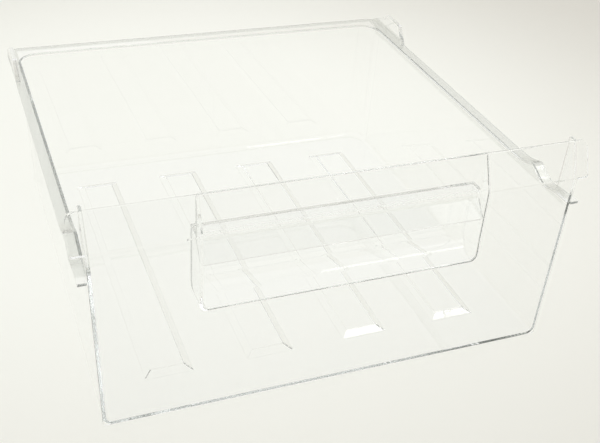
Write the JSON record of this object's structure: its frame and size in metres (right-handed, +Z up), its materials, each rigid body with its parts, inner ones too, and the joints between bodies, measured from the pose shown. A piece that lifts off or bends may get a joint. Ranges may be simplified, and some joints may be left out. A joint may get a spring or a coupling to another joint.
{
  "type": "freezer drawer",
  "caption": "Clear moulded drawer with a recessed pull handle in its front panel, side flanges that slide on a cabinet's runner ledges, and a ribbed floor.",
  "frame": {"origin": "centre of the drawer's footprint, on the underside of its floor", "axes": "+X to the right seen from the front, +Y from the front panel to the rear wall, +Z up"},
  "size_m": [0.461, 0.449, 0.21],
  "materials": {
    "clear_plastic": "clear polystyrene, glossy from a polished mould"
  },
  "bodies": {
    "root": {"drawer_body": "clear_plastic"}
  },
  "joints": []
}
